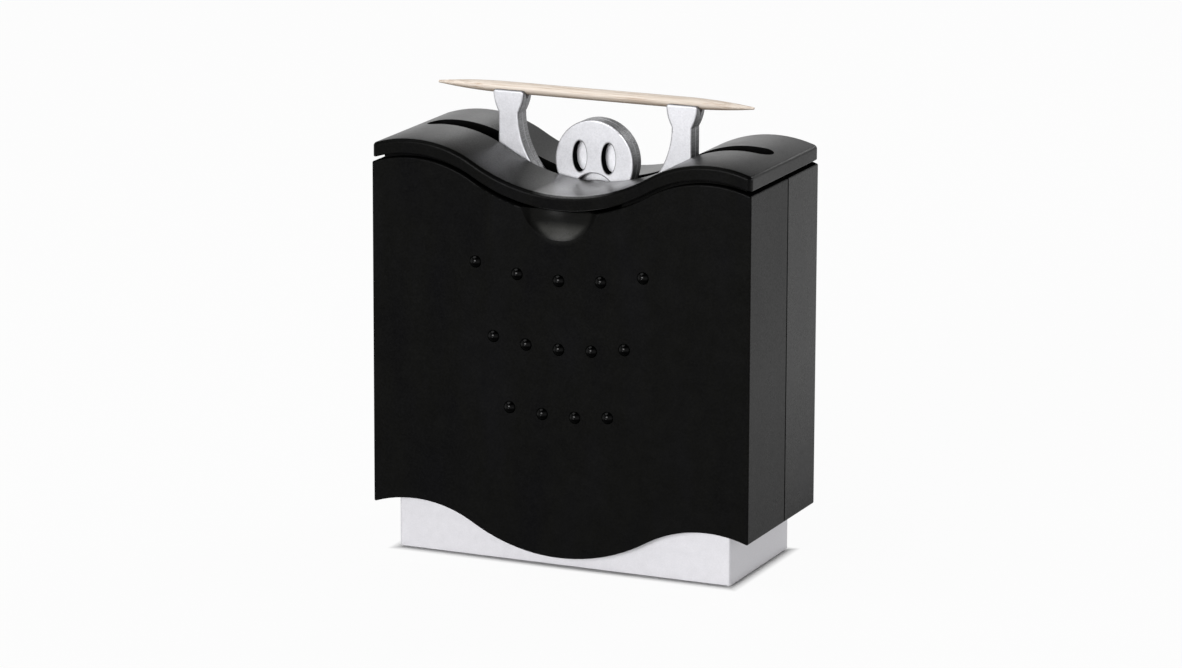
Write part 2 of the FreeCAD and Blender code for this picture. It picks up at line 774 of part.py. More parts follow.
def lid():
    body = new_body("lid")
    lip_half_width = inner_half_width - size.flange_clearance
    lip_half_depth = inner_half_depth - size.flange_clearance
    hollow_width = lip_half_width - size.lip_wall
    hollow_depth = lip_half_depth - size.lip_wall
    root_level = lid_under + size.lid_thickness / 2
    lip_level = lid_under - size.lip_depth
    band = wave_rightward(lip_level, lip_half_width) + wave_leftward(root_level, lip_half_width)
    prism(body, "Pad", "lip", "XZ", [band], -lip_half_depth, lip_half_depth)
    top = root_level + size.wave_rise + MARGIN
    hollow = centred(hollow_width, hollow_depth)
    prism(body, "Pocket", "lip_hollow", "XY", [hollow], lip_level - MARGIN, top)
    notch = rectangle(-size.lip_notch_width / 2, -lip_half_depth - MARGIN,
                      size.lip_notch_width / 2, -hollow_depth + MARGIN)
    prism(body, "Pocket", "lip_notch", "XY", [notch], lip_level - MARGIN, top)
    plate = wave_rightward(lid_under, case_half_width) + wave_leftward(lid_top, case_half_width)
    prism(body, "Pad", "plate", "XZ", [plate], -case_half_depth, case_half_depth)

    def on_corner(edge):
        box = edge.BoundBox
        upright = box.XLength < 1e-4 and box.YLength < 1e-4
        return upright and near(abs(box.XMin), case_half_width) and near(abs(box.YMin), case_half_depth)

    def on_top_outline(edge):
        return on_outline(edge, lid_top)

    def on_under_outline(edge):
        return on_outline(edge, lid_under)

    def on_outline(edge, level):
        box = edge.BoundBox
        middle = edge.valueAt((edge.FirstParameter + edge.LastParameter) / 2)
        on_face = near(abs(box.YMin), case_half_depth) and near(abs(box.YMax), case_half_depth)
        on_end = near(abs(box.XMin), case_half_width) and near(abs(box.XMax), case_half_width)
        flat = box.ZLength < size.lid_thickness.value / 2 or on_face
        upright = box.XLength < 1e-4 and box.YLength < 1e-4
        return (on_face or on_end) and not upright and flat and near_wave(middle, level)

    ease_edges(body, "Fillet", "corners", size.lid_corner_round, on_corner)
    ease_edges(body, "Fillet", "top_round", size.lid_round, on_top_outline)
    ease_edges(body, "Fillet", "under_round", size.lid_under_round, on_under_outline)

    half_slot = size.slot_width / 2
    straight = hopper_half_length + size.slot_overrun - half_slot
    slot = [
        (-straight, seam - half_slot),
        left_arc(straight, seam - half_slot, half_slot),
        (straight, seam + half_slot),
        left_arc(-straight, seam + half_slot, half_slot),
    ]
    prism(body, "Pocket", "slot", "XY", [slot], lip_level - MARGIN, lid_top + size.wave_rise + MARGIN)
    return body


def near_wave(point, level):
    """True where a point lies on the wave whose valley is at the level."""
    across = abs(point.x)
    if across < bend_reach.value:
        valley = size.wave_valley_radius.value
        rise = valley - math.sqrt(valley ** 2 - across ** 2)
    else:
        crest = crest_radius.value
        rise = size.wave_rise.value - crest + math.sqrt(crest ** 2 - (across - size.wave_reach.value) ** 2)
    return near(point.z, level + rise)


# ---------------------------------------------------------------- hopper

def hopper():
    """Trough with a V floor, a throat for the figure, and a flange on the bosses of the shells."""
    body = new_body("hopper")
    slope_wall = size.hopper_wall * math.sqrt(2)
    keel = slope_wall - size.hopper_wall
    outer_valley = hopper_valley - slope_wall
    outside = [
        (seam - keel, hopper_under),
        (seam + keel, hopper_under),
        (hopper_outer_width, outer_valley + hopper_outer_width - seam),
        (hopper_outer_width, hopper_rim),
        (-hopper_outer_width, hopper_rim),
        (-hopper_outer_width, outer_valley + hopper_outer_width + seam),
    ]
    prism(body, "Pad", "trough", "YZ", [outside], -hopper_outer_length, hopper_outer_length)
    flange = centred(inner_half_width - size.flange_clearance, inner_half_depth - size.flange_clearance)
    prism(body, "Pad", "flange", "XY", [flange], flange_under, flange_top)
    inside = [
        (seam, hopper_valley),
        (hopper_half_width, hopper_valley + hopper_half_width - seam),
        (hopper_half_width, hopper_rim + MARGIN),
        (-hopper_half_width, hopper_rim + MARGIN),
        (-hopper_half_width, hopper_valley + hopper_half_width + seam),
    ]
    prism(body, "Pocket", "hollow", "YZ", [inside], -hopper_half_length, hopper_half_length)
    throat = rectangle(-hand_reach - size.throat_margin, seam - size.slot_width / 2,
                       hand_reach + size.throat_margin, seam + size.slot_width / 2)
    prism(body, "Pocket", "throat", "XY", [throat], hopper_under - MARGIN,
          hopper_valley + size.slot_width / 2 + MARGIN)
    holes = [(place, side * boss_line) for side in (-1, 1) for place in boss_places]
    drill(body, "screw_holes", "XY", holes, (size.small_screw_diameter + size.screw_clearance) / 2,
          flange_under - MARGIN, flange_top + MARGIN)
    return body


# ---------------------------------------------------------------- base

def base_tub():
    body = new_body("base_tub")
    outside = centred(base_half_width, base_half_depth)
    inside = centred(tub_half_width, tub_half_depth)
    prism(body, "Pad", "block", "XY", [outside], size.pad_proud, face_wall_top)

    def on_corner(edge):
        return edge.BoundBox.ZLength > size.case_height.value / 2

    ease_edges(body, "Fillet", "corners", size.base_corner_round, on_corner)
    prism(body, "Pocket", "well", "XY", [inside], deck_top, face_wall_top + MARGIN)
    prism(body, "Pocket", "undercut", "XY", [inside], size.pad_proud - MARGIN, deck_under)

    end_gap = rectangle(-tub_half_depth, end_wall_top, tub_half_depth, face_wall_top + MARGIN)
    tracks = []
    for side in (-1, 1):
        centre = side * size.hook_spread
        half = size.hook_width / 2 + size.rest_gap
        tracks.append(rectangle(centre - half, track_under, centre + half, track_top))
    reach = base_half_width + MARGIN
    prism(body, "Pocket", "end_wall_tops", "YZ", [end_gap], -reach, reach)
    prism(body, "Pocket", "hook_tracks", "YZ", tracks, -reach, reach)

    figure_gap = size.layer_thickness + size.fit_gap
    opening = rectangle(-hand_reach - size.fit_gap, seam - figure_gap,
                        hand_reach + size.fit_gap, seam + figure_gap)
    prism(body, "Pocket", "figure_opening", "XY", [opening], deck_under - MARGIN, deck_top + MARGIN)
    cheeks = []
    for side in (-1, 1):
        cheeks.append(side_box(-arm_reach, arm_reach, seam + side * figure_gap,
                               seam + side * (figure_gap + size.socket_wall)))
    prism(body, "Pad", "socket", "XY", cheeks, deck_under, deck_top + size.socket_height)
    cheek_reach = figure_gap + size.socket_wall + MARGIN
    drill(body, "clamp_holes", "XZ", clamp_places, clamp_hole_radius, seam - cheek_reach, seam + cheek_reach)

    sketch = new_sketch(body, "floor_bosses", "XY", floor_top)
    for across, up in floor_screw_places:
        draw_circle(sketch, across, up, size.floor_boss_diameter / 2)
    extrude(body, "Pad", "floor_bosses", sketch, deck_top - floor_top)
    drill(body, "floor_pilot_holes", "XY", floor_screw_places, size.small_screw_diameter / 2,
          floor_top - MARGIN, deck_under)
    return body


def base_floor():
    body = new_body("base_floor")
    plate = centred(tub_half_width - size.fit_gap, tub_half_depth - size.fit_gap)
    low = size.pad_proud
    prism(body, "Pad", "plate", "XY", [plate], low, floor_top)
    hole = (size.small_screw_diameter + size.screw_clearance) / 2
    head = size.small_head_diameter / 2 + size.screw_clearance
    drill(body, "screw_holes", "XY", floor_screw_places, hole, low - MARGIN, floor_top + MARGIN)
    drill(body, "head_recesses", "XY", floor_screw_places, head, low - MARGIN, low + size.small_head_height)
    recess = size.pad_diameter / 2 + size.pad_clearance
    drill(body, "pad_recesses", "XY", pad_places, recess, low - MARGIN, low + size.pad_recess)
    return body


def foot_pads():
    master = new_body("pad_master")
    height = size.pad_proud + size.pad_recess
    radius = size.pad_diameter / 2
    bevel = size.pad_proud
    profile = [(0, 0), (radius - bevel, 0), (radius, bevel), (radius, height), (0, height)]
    turn(master, "Revolution", "form", "XZ", profile, "V_Axis")
    return group("foot_pads", master, [(across, along, 0) for across, along in pad_places])


def ballast_plate():
    body = new_body("ballast_plate")
    reach = tub_half_width - size.ballast_end_gap
    spread = tub_half_depth - size.ballast_side_gap
    cut = size.ballast_corner
    outline = [
        (-reach + cut, -spread), (reach - cut, -spread), (reach, -spread + cut), (reach, spread - cut),
        (reach - cut, spread), (-reach + cut, spread), (-reach, spread - cut), (-reach, -spread + cut),
    ]
    prism(body, "Pad", "plate", "XY", [outline], floor_top, ballast_top)
    return body


# ---------------------------------------------------------------- figure

def figure_outline():
    """Foot, body, arms and hands up the right side, the head on its neck, and the left side."""
    foot_reach = floor_screw_reach - size.floor_boss_diameter / 2 - size.foot_end_gap
    foot_low = ballast_top + size.fit_gap
    foot_high = deck_under - size.fit_gap
    flare = (size.hand_width - size.wrist_width) / 2
    hand_radius = (size.hand_height * size.hand_height + flare * flare) / (2 * flare)
    palm = hand_reach - size.hand_width
    right = [
        (foot_reach, foot_low),
        (foot_reach, foot_high),
        (arm_reach, foot_high),
        left_arc(arm_reach, wrist, hand_radius),
        (hand_reach, hand_top),
        left_arc(palm, hand_top, hand_radius),
        right_arc(inner_wrist, wrist, size.arm_inner_radius),
        (neck, lap_level),
        left_arc(neck, chin, size.head_radius, far=True),
    ]
    return with_mirror_image(right)


def figure_layer(label, outer_face):
    """One of the two flat layers of the figure, with eased edges and the groove for the pick."""
    body = new_body(label)
    first, last = sorted((outer_face, seam), key=lambda level: level.value)
    prism(body, "Pad", "plate", "XZ", [figure_outline()], first, last)
    shoulder = head_height - size.head_radius

    def on_hand_corner(edge):
        box = edge.BoundBox
        return box.XLength < 1e-4 and near(box.ZMin, hand_top) and near(box.ZMax, hand_top)

    def on_rim(edge, face):
        long_enough = edge.Length > 2 * size.neck_rise.value
        return lies_at(edge, "y", face) and edge.BoundBox.ZMax > shoulder.value and long_enough

    def on_outer_rim(edge):
        return on_rim(edge, outer_face)

    def on_parting(edge):
        return on_rim(edge, seam)

    ease_edges(body, "Fillet", "hand_corners", size.hand_corner_round, on_hand_corner)
    ease_edges(body, "Fillet", "rim_round", size.figure_edge_round, on_outer_rim)
    ease_edges(body, "Chamfer", "parting_bevel", size.parting_bevel, on_parting)
    drill(body, "clamp_holes", "XZ", clamp_places, clamp_hole_radius, first - MARGIN, last + MARGIN)

    half_angle = math.radians(GROOVE_ANGLE / 2)
    groove_low = pick_height - (pick_radius + size.fit_gap) / math.sin(half_angle)
    groove_high = hand_top + MARGIN
    half_width = (groove_high - groove_low) * math.tan(half_angle)
    groove = [(seam, groove_low), (seam + half_width, groove_high), (seam - half_width, groove_high)]
    prism(body, "Pocket", "pick_groove", "YZ", [groove], -hand_reach - MARGIN, hand_reach + MARGIN)
    return body


def figure_front():
    body = figure_layer("figure_front", figure_front_face)
    sketch = new_sketch(body, "eyes", "XZ", figure_front_face)
    for side in (-1, 1):
        draw_upright_ellipse(sketch, side * size.eye_spacing / 2, head_height + size.eye_rise,
                             size.eye_width / 2, size.eye_height / 2)
    extrude(body, "Pocket", "eyes", sketch, size.layer_thickness + MARGIN)

    corner = size.mouth_width / 2
    top = head_height - size.mouth_drop
    corner_level = top - size.mouth_arch
    outer_radius = (corner * corner + size.mouth_arch * size.mouth_arch) / (2 * size.mouth_arch)
    inner_arch = size.mouth_arch - size.mouth_band
    inner_corner = corner - size.mouth_band
    inner_radius = (inner_corner * inner_corner + inner_arch * inner_arch) / (2 * inner_arch)
    mouth = [
        left_arc(corner, corner_level, outer_radius),
        (-corner, corner_level),
        right_arc(-inner_corner, corner_level, inner_radius),
        (inner_corner, corner_level),
    ]
    prism(body, "Pocket", "mouth", "XZ", [mouth], figure_front_face - MARGIN, seam + MARGIN)
    return body


def figure_rear():
    return figure_layer("figure_rear", figure_rear_face)


# ---------------------------------------------------------------- toothpick

def toothpick():
    body = new_body("toothpick")
    left = size.pick_offset - pick_half_length
    right = size.pick_offset + pick_half_length
    tip = size.pick_tip_radius
    run = size.pick_taper - tip
    drop = pick_radius - tip
    taper_radius = (run * run + drop * drop) / (2 * drop)
    profile = [
        right_arc(left, 0, tip),
        right_arc(left + tip, tip, taper_radius),
        (left + size.pick_taper, pick_radius),
        right_arc(right - size.pick_taper, pick_radius, taper_radius),
        right_arc(right - tip, tip, tip),
        (right, 0),
    ]
    turn(body, "Revolution", "form", "XZ", profile, "H_Axis", depth=seam, rise=pick_height)
    return body


# ---------------------------------------------------------------- screws and nuts

def screw(name, diameter, length, head_diameter, depth):
    """A screw with its bevelled head up: the underside of the head is at z = 0, and depth is its height."""
    body = new_body(name)
    shank = diameter / 2
    head = head_diameter / 2
    crown = depth / 2
    profile = [
        (0, -length),
        (shank, -length),
        (shank, 0),
        (head, 0),
        (head, crown),
        (head - crown, depth),
        (0, depth),
    ]
    turn(body, "Revolution", "form", "XZ", profile, "V_Axis")
    arm = head * DRIVE_REACH
    half = head * DRIVE_HALF_WIDTH
    cross = [
        (half, half), (half, arm), (-half, arm), (-half, half), (-arm, half), (-arm, -half),
        (-half, -half), (-half, -arm), (half, -arm), (half, -half), (arm, -half), (arm, half),
    ]
    prism(body, "Pocket", "cross", "XY", [cross], crown, depth + MARGIN)
    return body


def small_screw(name, length):
    return screw(name, size.small_screw_diameter, length, size.small_head_diameter, size.small_head_height)


def hopper_screws():
    master = small_screw("hopper_screw_master", size.small_screw_length)
    places = [(place, side * boss_line, flange_top) for side in (-1, 1) for place in boss_places]
    return group("hopper_screws", master, places)


def floor_screws():
    master = small_screw("floor_screw_master", size.small_screw_length)
    head_seat = size.pad_proud + size.small_head_height
    places = [(across, along, head_seat) for across, along in floor_screw_places]
    upside_down = FreeCAD.Rotation(FreeCAD.Vector(1, 0, 0), 180)
    return group("floor_screws", master, places, upside_down)


def clamp_faces():
    """How far the outer faces of the socket lie from the figure's middle plane."""
    return size.layer_thickness + size.fit_gap + size.socket_wall


def figure_screws():
    length = 2 * clamp_faces() + size.clamp_nut_thickness + size.clamp_screw_diameter / 4
    master = screw("clamp_screw_master", size.clamp_screw_diameter, length,
                   size.clamp_head_diameter, size.clamp_head_height)
    places = [(across, seam + clamp_faces(), up) for across, up in clamp_places]
    rearward = FreeCAD.Rotation(FreeCAD.Vector(1, 0, 0), -90)
    return group("figure_screws", master, places, rearward)


def figure_nuts():
    """Hexagon nuts on the front side of the socket."""
    master = new_body("nut_master")
    half = size.clamp_nut_width / 2
    corner = half * (2 / math.sqrt(3))
    hexagon = [
        (corner, 0), (corner / 2, half), (-corner / 2, half),
        (-corner, 0), (-corner / 2, -half), (corner / 2, -half),
    ]
    prism(master, "Pad", "hexagon", "XY", [hexagon], 0, size.clamp_nut_thickness)
    drill(master, "bore", "XY", [(0, 0)], size.clamp_screw_diameter / 2, -MARGIN,
          size.clamp_nut_thickness + MARGIN)
    places = [(across, seam - clamp_faces(), up) for across, up in clamp_places]
    frontward = FreeCAD.Rotation(FreeCAD.Vector(1, 0, 0), 90)
    return group("figure_nuts", master, places, frontward)


# ---------------------------------------------------------------- build, check and write

subparts = [
    base_tub(),
    base_floor(),
    floor_screws(),
    foot_pads(),
    ballast_plate(),
    figure_front(),
    figure_rear(),
    figure_screws(),
    figure_nuts(),
    front_shell(),
    rear_shell(),
    grip_studs(),
    hopper(),
    hopper_screws(),
    lid(),
    toothpick(),
]
document.recompute()

for item in document.Objects:
    for trouble in ("Invalid", "Error"):
        if trouble in item.State:
            raise ValueError(f"{item.Label} is {trouble}")
for subpart in subparts:
    if subpart.Shape.isNull() or not subpart.Shape.isValid():
        raise ValueError(f"{subpart.Label} has no valid shape")
    wanted = len(subpart.Links) if subpart.TypeId == "Part::Compound" else 1
    if len(subpart.Shape.Solids) != wanted:
        raise ValueError(f"{subpart.Label} has {len(subpart.Shape.Solids)} solids")

os.makedirs("parts", exist_ok=True)
for subpart in subparts:
    subpart.Shape.exportStep(f"parts/{subpart.Label}.step")
    box = subpart.Shape.BoundBox
    print(f"{subpart.Label}: {subpart.Shape.Volume:.1f} mm3, z {box.ZMin:.2f} to {box.ZMax:.2f}")
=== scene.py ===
import bpy
import math
from mathutils import Matrix, Vector

# Toothpick dispenser, in metres. +Z is up, X runs along the width and the front faces -Y.

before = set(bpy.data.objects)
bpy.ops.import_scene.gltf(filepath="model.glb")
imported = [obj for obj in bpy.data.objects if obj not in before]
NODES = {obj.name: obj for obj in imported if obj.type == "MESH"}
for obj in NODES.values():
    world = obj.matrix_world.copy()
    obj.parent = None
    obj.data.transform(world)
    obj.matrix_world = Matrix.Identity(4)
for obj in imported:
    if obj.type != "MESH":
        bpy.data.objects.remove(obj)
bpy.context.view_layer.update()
MM = 0.001
WHITE = (1.0, 1.0, 1.0)

# Camera: where it stands, how it looks at the object, and its field of view.
CAMERA_PLACE = Vector((402.4, -911.0, 280.2)) * MM
CAMERA_AZIMUTH = math.radians(23.87)
CAMERA_ELEVATION = math.radians(13.44)
CAMERA_ROLL = math.radians(0.19)
SENSOR_WIDTH = 36.0
CAMERA_LENS = 164.33
NEAREST_SEEN = 0.05
FARTHEST_SEEN = 50.0

# A look fades in or out over a range, which is a pair: where the fade starts and where it ends.
NOISE_RANGE = (0.3, 0.7)    # most values of a noise lie in it

# Ranges of facing an axis, either way: 0 stands across it and 1 faces along it.
END_FACING = (0.5, 0.9)
TOP_FACING = (0.35, 0.8)
LIP_FACING = (0.4, 0.52)
DOME_FACING = (0.5, 0.72)
PLATE_FACING = (0.45, 0.8)

# Ranges of facing up: -1 is underneath, 0 is a wall and 1 is on top.
DOME_UPWARD = (-0.22, 0.08)
PICK_UPWARD = (-0.75, 0.2)

# Hands hold the case by its end walls: over these heights the walls get glossier.
GRIP_HEIGHTS = (8 * MM, 40 * MM)

# The lid: its half depth, and the lowest stretch of its wave, where it carries a painted highlight
# and more polish.
LID_REACH = 16.7 * MM
LID_LOW = Vector((2.8, 0, 72)) * MM
LID_SHEEN_REACH = (4.5 * MM, 8.5 * MM)                     # distances from LID_LOW
LID_DULL = (-LID_REACH, 0.6 * LID_REACH)            # Y, from the dull front to the polished rear
LID_FRONT = (-0.9 * LID_REACH, -0.6 * LID_REACH)    # Y, where the painted highlight starts behind the edge
LID_MIDDLE = (-3 * MM, -1 * MM)                     # Y, where the painted highlight ends before the head
LID_EDGE_POLISH = 0.05                              # share of the polish left at the front edge
LID_SHEEN_POLISH = 1.7                               # what the stretch with the painted highlight adds, times the polish

# The thumb scoop and its lower lip are rounds about one axis. Ranges are distances from it.
SCOOP_CENTRE = Vector((0, 0, 69.2)) * MM
SCOOP_EDGE = (5.8 * MM, 6.6 * MM)
LIP_EDGE = (5.1 * MM, 5.8 * MM)
SCOOP_PAINTED_LIGHT = 0.12                                  # how much painted light the scoop has above its lip

# The figure's face. EYE_REACH is from its middle to the middle of an eye.
EYE_REACH = 2.95 * MM
EYE_HEIGHT = 76.49 * MM
EYE_HALF_WIDTH = 1.45 * MM
EYE_HALF_HEIGHT = 2.975 * MM
# EYE_RIM, EYE_WALL, MOUTH_RIM and RIM_DARKNESS place painted shade on the eye walls and on the rims
# of the eyes and mouth.
EYE_RIM = (1.02, 1.12)                              # times the size of the eye
EYE_WALL = (1.15, 1.3)
MOUTH_CENTRE = Vector((0, 0, 68.955)) * MM
MOUTH_RADIUS = 4.485 * MM
MOUTH_RIM = (MOUTH_RADIUS + 0.1 * MM, MOUTH_RADIUS + 0.25 * MM)
RIM_DARKNESS = 0.75

# Painted shade darkens the figure up to just below the lid's top, where the gap under the lid shows
# it; above that it is painted silver.
PAINTED_SHADE_TOP = (71.2 * MM, 71.5 * MM)

# The floor is white to the camera, but for a thin contact shadow and a faint wider one.
FLOOR_REACH = 4.0
FLOOR_COLOUR = (0.68, 0.68, 0.68)
BASE_HALF_WIDTH = 34.2 * MM
BASE_HALF_DEPTH = 14.45 * MM
CONTACT_FADE = (0.0, 2 * MM)    # distances from the base
SHADOW_SHARE = 0.05             # how much of what the camera sees of the floor is the light on it

# The sky, as stops of (sine of elevation, level), and the range of that sine over which
# reflections stop showing the white backdrop.
SKY_LEVELS = ((0.0, 0.4), (0.12, 0.65), (0.35, 0.7), (0.55, 0.2), (0.8, 0.0))
BACKDROP_FADE = (0.01, 0.11)

# Lamps, aimed at the middle of the object from one distance. Azimuth 0 stands in front of it, and
# 90 to its right. Name, azimuth and elevation in degrees, width and height in metres, watts.
LIGHT_TARGET = Vector((0, 0, 45 * MM))
LAMP_DISTANCE = 0.9
LAMPS = (
    ("key_light", -8, 13, 0.4, 0.3, 5.6),
    ("high_light", -55, 61, 0.6, 0.6, 2.7),
    ("right_light", 110, 12, 0.3, 0.3, 1.5),
    ("rear_light", 150, 35, 0.3, 0.3, 1.7),
    ("rear_left_light", -150, 35, 0.3, 0.3, 1.15),
)


# ---------------------------------------------------------------- node helpers

class Shader:
    """The node tree of a material or of the world, with short ways to add and link nodes."""

    def __init__(self, owner, output="OutputMaterial"):
        self.owner = owner
        owner.use_nodes = True
        self.nodes = owner.node_tree.nodes
        self.links = owner.node_tree.links
        self.nodes.clear()
        self.output = self.node(output)
        self.coordinates = self.node("TexCoord").outputs
        self.place = self.coordinates["Object"]

    def node(self, kind, inputs=None, **properties):
        """Add a node. inputs maps a socket to a number, a colour or another node's output."""
        made = self.nodes.new("ShaderNode" + kind)
        for name, value in properties.items():
            setattr(made, name, value)
        for socket, value in (inputs or {}).items():
            if isinstance(value, bpy.types.NodeSocket):
                self.links.new(value, made.inputs[socket])
            else:
                made.inputs[socket].default_value = value
        return made

    def show(self, surface):
        """Make a shader the surface, and return the material or the world."""
        self.links.new(surface, self.output.inputs["Surface"])
        return self.owner

    def principled(self, inputs):
        return self.show(self.node("BsdfPrincipled", inputs).outputs["BSDF"])

    def math(self, kind, first, *others):
        """Combine a value with each of the others in turn."""
        for other in others or (0.0,):
            first = self.node("Math", {0: first, 1: other}, operation=kind).outputs["Value"]
        return first

    def spread(self, value, low, high, between=NOISE_RANGE):
        """Turn a value that runs over a range into one that runs from low to high."""
        inputs = {"Value": value, "To Min": low, "To Max": high,
                  "From Min": between[0], "From Max": between[1]}
        return self.node("MapRange", inputs).outputs["Result"]

    def along(self, vector, axis):
        """A vector's part along an axis."""
        return self.node("SeparateXYZ", {0: vector}).outputs[axis]

    def upward(self):
        """How far the surface faces up, from -1 underneath to 1 on top."""
        return self.along(self.coordinates["Normal"], "Z")

    def facing(self, axis, between):
        """1 where the surface faces along the axis, either way, and 0 where it stands across it."""
        part = self.along(self.coordinates["Normal"], axis)
        return self.spread(self.math("ABSOLUTE", part), 0.0, 1.0, between)

    def around(self, centre, between):
        """1 near an axis along Y through the centre, and 0 beyond the range of distances."""
        inputs = {0: self.place, 1: centre}
        away = self.node("VectorMath", inputs, operation="SUBTRACT").outputs["Vector"]
        inputs = {0: away, 1: (1, 0, 1)}
        flat = self.node("VectorMath", inputs, operation="MULTIPLY").outputs["Vector"]
        distance = self.node("VectorMath", {0: flat}, operation="LENGTH").outputs["Value"]
        return self.spread(distance, 1.0, 0.0, between)

    def noise(self, size, detail=3.0, roughness=0.5, stretch=(1, 1, 1)):
        """Noise whose features are about that size, stretched along the axes."""
        scale = [1.0 / (size * factor) for factor in stretch]
        spot = self.node("Mapping", {"Vector": self.place, "Scale": scale}).outputs["Vector"]
        inputs = {"Vector": spot, "Scale": 1.0, "Detail": detail, "Roughness": roughness}
        return self.node("TexNoise", inputs).outputs["Fac"]

    def cells(self, size):
        """Random grey for each cell of about that size."""
        inputs = {"Vector": self.place, "Scale": 1.0 / size}
        return self.node("TexVoronoi", inputs).outputs["Color"]

    def bump(self, height, depth):
        return self.node("Bump", {"Height": height, "Distance": depth}).outputs["Normal"]

    def ramp(self, value, *stops):
        """A colour ramp through (position, colour) stops."""
        made = self.node("ValToRGB", {"Fac": value})
        elements = made.color_ramp.elements
        while len(elements) < len(stops):
            elements.new(0.5)
        for element, (position, colour) in zip(elements, stops):
            element.position = position
            element.color = (*colour, 1.0)
        return made.outputs["Color"]

    def tones(self, noise, *colours):
        """Colours spaced evenly over the values of a noise."""
        low, high = NOISE_RANGE
        step = (high - low) / (len(colours) - 1)
        return self.ramp(noise, *((low + step * place, colour)
                                  for place, colour in enumerate(colours)))

    def mix(self, amount, first, second, kind="MIX"):
        """A colour between first and second. A plain colour is given as three linear numbers."""
        first, second = (value if isinstance(value, bpy.types.NodeSocket) else (*value, 1.0)
                         for value in (first, second))
        inputs = {0: amount, 6: first, 7: second}
        return self.node("Mix", inputs, data_type="RGBA", blend_type=kind).outputs[2]


def new_shader(name):
    return Shader(bpy.data.materials.new(name))


# ---------------------------------------------------------------- colours

def linear(red, green, blue):
    """A linear colour from 0-255 display numbers."""
    def channel(value):
        share = value / 255
        return share / 12.92 if share <= 0.04045 else ((share + 0.055) / 1.055) ** 2.4
    return (channel(red), channel(green), channel(blue))


PLASTIC_BLACKS = (linear(6, 6, 7), linear(8, 8, 7), linear(9, 9, 10))
# Painted highlight: a grey patch on the black lid, low in the middle, for the light it reflects
# there.
LID_PAINTED_SHEEN = linear(108, 108, 108)
# Painted highlight: a lighter grey on the scoop, most of all on its upward-facing lower lip.
LIP_PAINTED_HIGHLIGHT = linear(58, 58, 56)
STUD_BLACKS = (linear(1, 1, 1), linear(3, 3, 3))
BASE_PAINT = linear(205, 204, 208)
FRONT_PAINT = linear(197, 197, 201)
# The rear plate's paint is brighter than the front's: painted light, so the floors of the eyes and
# mouth look as bright as the face.
REAR_PAINT_AND_LIGHT = linear(224, 224, 228)
# Painted shade: a dark grey mixed into the base's ends, and into the figure below the lid and in
# and around its eyes and mouth.
PAINTED_SHADE_GREY = linear(20, 20, 21)
CUT_METALS = (linear(84, 84, 86), linear(138, 138, 140))
BIRCHES = (linear(216, 204, 191), linear(232, 221, 209))
BIRCH_FIBRE = linear(196, 170, 145)
# Painted shade: the pick's underside is mixed towards this.
BIRCH_PAINTED_SHADE = linear(178, 172, 166)
SCREW_STEELS = (linear(150, 150, 152), linear(186, 186, 188))
BALLAST_STEELS = (linear(120, 119, 117), linear(150, 149, 146))
PAD_GREYS = (linear(36, 36, 37), linear(52, 52, 53))


# ---------------------------------------------------------------- materials

def black_plastic(name, roughness, specular, end_polish, top_polish, grain, dress_up=None):
    """Satin moulded plastic, glossier on the ends and on what faces up, where hands rub it."""
    shade = new_shader(name)
    flow = shade.noise(9 * MM, detail=4.0, stretch=(1, 1, 3))
    smudge = shade.noise(4 * MM, detail=5.0, roughness=0.65)
    pores = shade.noise(0.3 * MM, detail=2.0)
    fine = shade.noise(0.22 * MM, detail=2.0)
    tint = shade.tones(flow, *PLASTIC_BLACKS)
    if dress_up:
        tint, top_polish = dress_up(shade, tint, top_polish)
    held = shade.spread(shade.along(shade.place, "Z"), -0.1, 1.0, GRIP_HEIGHTS)
    ends = shade.math("MULTIPLY", shade.facing("X", END_FACING),
                      shade.math("MULTIPLY", held, end_polish - specular))
    tops = shade.math("MULTIPLY", shade.facing("Z", TOP_FACING),
                      shade.math("SUBTRACT", top_polish, specular))
    polish = shade.math("ADD", ends, tops, specular)
    patches = shade.math("MULTIPLY", shade.spread(smudge, 0.88, 1.12),
                         shade.spread(pores, 0.68, 1.32))
    return shade.principled({
        "Base Color": tint,
        "Roughness": shade.math("ADD", shade.spread(flow, -0.02, 0.03),
                                shade.spread(smudge, -0.02, 0.04), roughness),
        "Specular IOR Level": shade.math("MULTIPLY", polish, patches),
        "Normal": shade.bump(fine, grain),
    })


def lid_sheen_and_polish(shade, tint, top_polish):
    """The lid is duller towards its front edge, and carries a painted highlight, a grey patch with
    more polish, low in the middle.
    """
    rearward = shade.along(shade.place, "Y")
    low = shade.around(LID_LOW, LID_SHEEN_REACH)
    highlight_breakup = shade.noise(0.4 * MM, detail=4.0)
    # Painted highlight: the patch is broken up by noise and fades out towards the front edge and
    # the head.
    painted_light = shade.math("MULTIPLY", low, shade.spread(rearward, 0.0, 1.0, LID_FRONT),
                      shade.spread(rearward, 1.0, 0.0, LID_MIDDLE),
                      shade.spread(highlight_breakup, 0.8, 1.0))
    polish = shade.math("ADD", shade.spread(rearward, LID_EDGE_POLISH * top_polish, top_polish,
                                            LID_DULL),
                        shade.math("MULTIPLY", low, LID_SHEEN_POLISH * top_polish))
    return shade.mix(painted_light, tint, LID_PAINTED_SHEEN), polish


